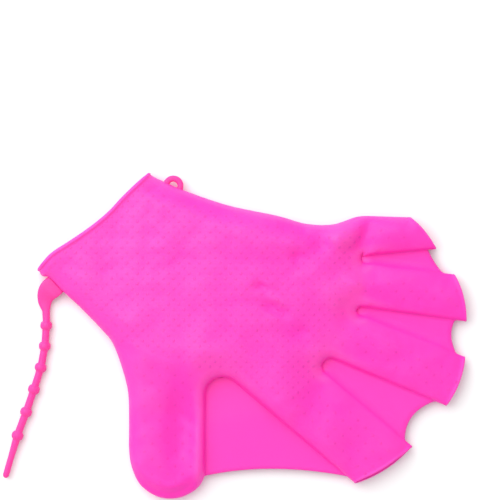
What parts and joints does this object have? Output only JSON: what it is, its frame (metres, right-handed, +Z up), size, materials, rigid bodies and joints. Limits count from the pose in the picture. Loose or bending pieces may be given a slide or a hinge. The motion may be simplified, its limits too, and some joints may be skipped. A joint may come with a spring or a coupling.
{
  "type": "webbed swim glove",
  "caption": "Hollow silicone swim glove with webs between open finger sleeves, a closed thumb and a beaded wrist strap.",
  "frame": {"origin": "on the flat underside of the palm, 82 mm from the middle of the cuff along the hand", "axes": "+X from the cuff to the fingertips, -Y towards the thumb, +Z up from the surface it lies on"},
  "size_m": [0.2412, 0.2058, 0.018],
  "materials": {
    "glove_silicone": "satin moulded silicone",
    "web_silicone": "smooth moulded silicone",
    "rim_silicone": "satin moulded silicone",
    "strap_silicone": "satin moulded silicone"
  },
  "bodies": {
    "root": {"hand_shell": "glove_silicone", "thumb_sleeve": "glove_silicone", "index_sleeve": "glove_silicone", "middle_sleeve": "glove_silicone", "ring_sleeve": "glove_silicone", "little_sleeve": "glove_silicone", "cuff_rim": "rim_silicone", "web_thumb_index": "web_silicone", "web_index_middle": "web_silicone", "web_middle_ring": "web_silicone", "web_ring_little": "web_silicone", "wrist_strap": "strap_silicone", "strap_loop": "strap_silicone"}
  },
  "joints": []
}
